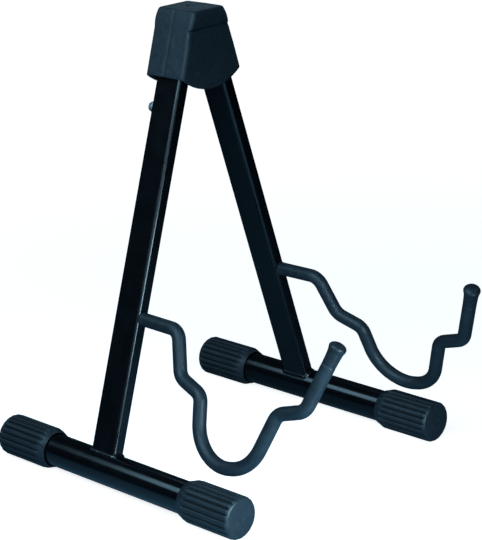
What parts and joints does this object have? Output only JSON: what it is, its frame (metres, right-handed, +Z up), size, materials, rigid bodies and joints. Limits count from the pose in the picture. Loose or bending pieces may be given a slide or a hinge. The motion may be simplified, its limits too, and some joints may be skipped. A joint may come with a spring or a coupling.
{
  "type": "guitar floor stand",
  "caption": "Folding A-frame guitar floor stand: hinged legs under a moulded hood, base tubes with ribbed rubber end caps, and bent sleeved arms that cradle the instrument.",
  "frame": {"origin": "on the floor, at the middle of the stand's outline from side to side and from the arm tips to the rear caps", "axes": "+Z up, -Y towards the side the arms reach to, X from the left leg to the right leg as seen from the arms' side"},
  "size_m": [0.2562, 0.3138, 0.3485],
  "materials": {
    "hood_plastic": "moulded, fine matte grain",
    "leg_paint": "satin black enamel",
    "base_paint": "gloss black enamel",
    "cap_rubber": "ribbed, matte",
    "sleeve_foam": "soft matte sleeve",
    "tip_rubber": "moulded, matte",
    "insert_nylon": "moulded nylon",
    "bracket_steel": "zinc plated sheet",
    "rod_steel": "drawn bar",
    "rivet_steel": "zinc plated",
    "screw_zinc": "bright zinc plate",
    "screw_black": "black oxide"
  },
  "bodies": {
    "head": {"hood": "hood_plastic", "hinge_bracket": "bracket_steel", "hood_screw": "screw_black", "hood_nut": "screw_zinc", "pivot_rivet_left": "rivet_steel", "pivot_rivet_right": "rivet_steel"},
    "left_leg": {"leg_tube_left": "leg_paint", "leg_insert_left": "insert_nylon", "insert_screw_left": "screw_zinc", "base_tube_left": "base_paint", "front_end_cap_left": "cap_rubber", "rear_end_cap_left": "cap_rubber", "arm_rod_left": "rod_steel", "arm_sleeve_left": "sleeve_foam", "arm_tip_cap_left": "tip_rubber"},
    "right_leg": {"leg_tube_right": "leg_paint", "leg_insert_right": "insert_nylon", "base_tube_right": "base_paint", "front_end_cap_right": "cap_rubber", "rear_end_cap_right": "cap_rubber", "arm_rod_right": "rod_steel", "arm_sleeve_right": "sleeve_foam", "arm_tip_cap_right": "tip_rubber"}
  },
  "joints": [
    {"name": "left_leg_fold", "type": "hinge", "parent": "head", "child": "left_leg", "pos_m": [-0.0104, 0.05093, 0.33215], "axis": [0, -1, 0], "range_deg": [0, 16.6]},
    {"name": "right_leg_fold", "type": "hinge", "parent": "head", "child": "right_leg", "pos_m": [0.0104, 0.05093, 0.33215], "axis": [0, 1, 0], "range_deg": [0, 16.6]}
  ]
}
